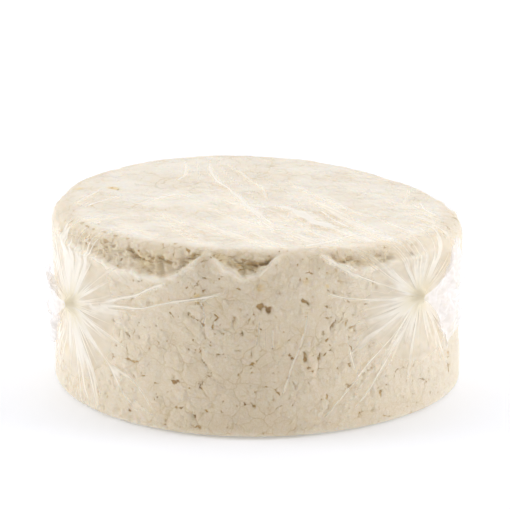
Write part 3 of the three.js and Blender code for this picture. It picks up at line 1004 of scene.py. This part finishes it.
# %% Folds and finish of the film
fold_vector = film_node("Attribute", out="Vector", attribute_name="fold")
fold_across_it, fold_strength, fold_half = (
    film_node("SeparateXYZ", [fold_vector], axis) for axis in "XYZ")
long_place = film_node("Mapping", {
    "Vector": film_place, "Rotation": (0, 0, math.radians(-59)), "Scale": (7, 1, 1)},
    vector_type="TEXTURE")
swelling, clouds, crumple = (
    film_node("TexNoise", {"Vector": place, "Scale": 1000 / size, "Detail": detail, "W": seed},
              **SEEDED)
    for place, size, detail, seed in (
        (film_place, 12, 1, 8.0), (long_place, 9, 4, 5.0), (film_place, 10, 1, 6.0)))
swelling = film_node("MapRange", (swelling, 0.35, 0.65, 0.5, 1.5), **SOFT)
fold_off = film_node("Math", [fold_across_it], operation="ABSOLUTE")
fold_half = film_node("Math", (fold_half, swelling), operation="MULTIPLY")
fold_middle, core_edge, core_middle = (
    film_node("Math", (fold_half, share), operation="MULTIPLY") for share in (0.3, 0.4, 0.1))
# the folds' pale bands and brighter middles are partly real creases and partly painted highlight
band = film_node("MapRange", (fold_off, fold_middle, fold_half, 0.45, 0), **SOFT)
core = film_node("MapRange", (fold_off, core_middle, core_edge, 0.55, 0), **SOFT)
fold_and_painted_highlight = film_node("Math", (band, core))
fold_and_painted_highlight = film_node("Math", (fold_and_painted_highlight, fold_strength), operation="MULTIPLY")
# painted reflection: broad patches on the top drawn as more solid, whiter film
top_painted_reflection = film_node("MapRange", (clouds, 0.46, 0.68, 0, film_node(
    "Attribute", out="Fac", attribute_name="top_painted_reflection")), **SOFT)
film_above = film_node("SeparateXYZ", [film_place], "Z")
low_down = film_node("MapRange", (film_above, MM, 6 * MM, 0, 1))
low_down = film_node("MapRange", (film_above, 84 * MM, 89 * MM, low_down, 0.1))
rim = film_node("Attribute", out="Fac", attribute_name="rim")
rim = film_node("MapRange", (rim, 0.55, 0.9, 0, 0.5), **SOFT)
# painted reflection: the film turns more solid and whiter where it is seen at a grazing angle
grazing_painted_reflection = film_node("LayerWeight", {"Blend": 0.25}, "Facing")
grazing_painted_reflection = film_node("Math", (grazing_painted_reflection, low_down), operation="MULTIPLY")

solid = 0.04
for amount, thing in ((0.85, streak_total), (0.36, haze_total), (0.85, fold_and_painted_highlight), (0.6, top_painted_reflection),
                      (1, rim), (0.35, grazing_painted_reflection)):
    solid = film_node("Math", (thing, amount, solid), operation="MULTIPLY_ADD")
solid = film_node("Math", (solid, 0.88), operation="MINIMUM")
film_height = film_node("Math", (crumple, 0.5), operation="MULTIPLY")
film_height = film_node("Math", (streak_total, 0.1, film_height), operation="MULTIPLY_ADD")
film_bump = film_node("Bump", {"Strength": 0.4, "Distance": MM, "Height": film_height})
straw_total = film_node("Math", (straw_total, 0.5), operation="MULTIPLY")
film_colour = film_node("Mix", {0: straw_total, MIX_A: colour("FFFBF0"), MIX_B: colour("F0E2B4")},
                        MIX_RESULT, data_type="RGBA")
film_finish = film_node("BsdfPrincipled", {
    "Base Color": film_colour, "Roughness": 0.22, "IOR": 1.51, "Specular IOR Level": 0.12,
    "Alpha": solid, "Normal": film_bump})
film_node("OutputMaterial", [film_finish])
film_mesh.materials.append(film_material)
print("film material:", len(film_material.node_tree.nodes), "nodes")

# %% [markdown]
# The tails are the same film, but crumpled layer on layer, so their material is milkier and has
# more sparkle. It reads the place on the piece, since no thread runs there.

# %% Crumpled film
tail_material, tail_node = new_material("crumpled_cling_film_ldpe")
tail_place = tail_node("TexCoord", out="Object")
tail_folds = tail_node("TexNoise", {"Vector": tail_place, "Scale": 1000 / 10, "Detail": 1})
tail_ridge = tail_node("Math", (tail_folds, 0.5), operation="SUBTRACT")
tail_ridge = tail_node("Math", [tail_ridge], operation="ABSOLUTE")
tail_edge = tail_node("LayerWeight", {"Blend": 0.3}, "Facing")
tail_milk = tail_node("MapRange", (tail_ridge, 0, 0.15, 0.66, 0.34), **SOFT)
tail_solid = tail_node("Math", (tail_edge, 0.2, tail_milk), operation="MULTIPLY_ADD")
tail_bump = tail_node("Bump", {"Strength": 0.5, "Distance": MM, "Height": tail_folds})
tail_finish = tail_node("BsdfPrincipled", {
    "Base Color": colour("FFFBF8"), "Roughness": 0.3, "IOR": 1.51, "Alpha": tail_solid,
    "Normal": tail_bump})
tail_node("OutputMaterial", [tail_finish])
for tail in film_tails:
    tail.data.materials.append(tail_material)
print("crumpled film on", len(film_tails), "tails")

# %% [markdown]
# The film's flat size follows from the path round the wheel:
# 0.30 m between its two free ends, a common roll width, and 0.58 m once round: over the top, down
# the back, under the base and up the front is 0.57 m, and the two edges overlap by 14 mm.

# %% [markdown]
# The wheel stands on a sweep of white paper. Matt paper is never quite as bright as the white
# surround behind it, and the seam would show as a grey line. So the paper also glows faintly, a
# little more with distance.

# %% Floor
FLOOR_SIZE = 8

floor_maker = bmesh.new()
bmesh.ops.create_grid(floor_maker, x_segments=1, y_segments=1, size=FLOOR_SIZE / 2)
floor_mesh = bpy.data.meshes.new("floor")
floor_maker.to_mesh(floor_mesh)
floor_maker.free()
floor = add_object("floor", floor_mesh)

paper, paper_node = new_material("white_paper_sweep")
from_wheel = paper_node("VectorMath", [paper_node("TexCoord", out="Object")], "Value",
                        operation="LENGTH")
paper_glow = paper_node("MapRange", (from_wheel, 0.5, 2.0, 0.2, 0.45), **SOFT)
paper_finish = paper_node("BsdfPrincipled", {
    "Base Color": colour("F3F6FC"), "Roughness": 0.9, "Specular IOR Level": 0.1,
    "Emission Color": colour("FFFFFF"), "Emission Strength": paper_glow})
paper_node("OutputMaterial", [paper_finish])
floor_mesh.materials.append(paper)
print("floor, m:", FLOOR_SIZE)

# %% [markdown]
# Light comes from all round and above, as in a tent of white cloth that is open to a warm room on
# the camera's side. So the top and the flanks are bright, and the front of the wall is a shade
# deeper and warmer. Two far softboxes and a small one above add a little direction.

# %% Surround and lights
world = bpy.data.worlds.new("white_surround")
bpy.context.scene.world = world
world.use_nodes = True
world.node_tree.nodes.clear()
world_node = partial(add_node, world.node_tree)
direction = world_node("TexCoord", out="Generated")
facing = world_node("MapRange", (world_node("SeparateXYZ", [direction], "Y"), -0.9, 0.1), **SOFT)
sweep_tint = world_node("Mix", {0: facing, MIX_A: colour("94835F"), MIX_B: colour("FCFCFF")},
                        MIX_RESULT, data_type="RGBA")
surround = world_node("Background", (sweep_tint, 0.83))
backdrop = world_node("Background", (colour("FFFFFF"), 1.0))
camera_ray = world_node("LightPath", out="Is Camera Ray")
world_node("OutputWorld", [world_node("MixShader", (camera_ray, surround, backdrop))])

DAYLIGHT = (0.93, 0.945, 1.0)
# place, size and strength in watts of each softbox
SOFTBOXES = {
    "softbox_above": ((0.0, 0.25, 1.3), 1.0, 2.0),
    "softbox_left": ((-3.9, 0.15, 1.65), 2.1, 60.0),
    "softbox_right": ((3.9, -0.24, 1.8), 2.1, 62.5),
}
for name, (place, size, power) in SOFTBOXES.items():
    lamp = bpy.data.lights.new(name, "AREA")
    lamp.energy = power
    lamp.color = DAYLIGHT
    lamp.size = size
    softbox = add_object(name, lamp)
    softbox.location = place
    softbox.rotation_euler = (Vector((0, 0, WHEEL_MIDDLE)) - Vector(place)).to_track_quat(
        "-Z", "Y").to_euler()
print("softboxes:", list(SOFTBOXES))

bpy.context.scene.view_settings.view_transform = "Standard"
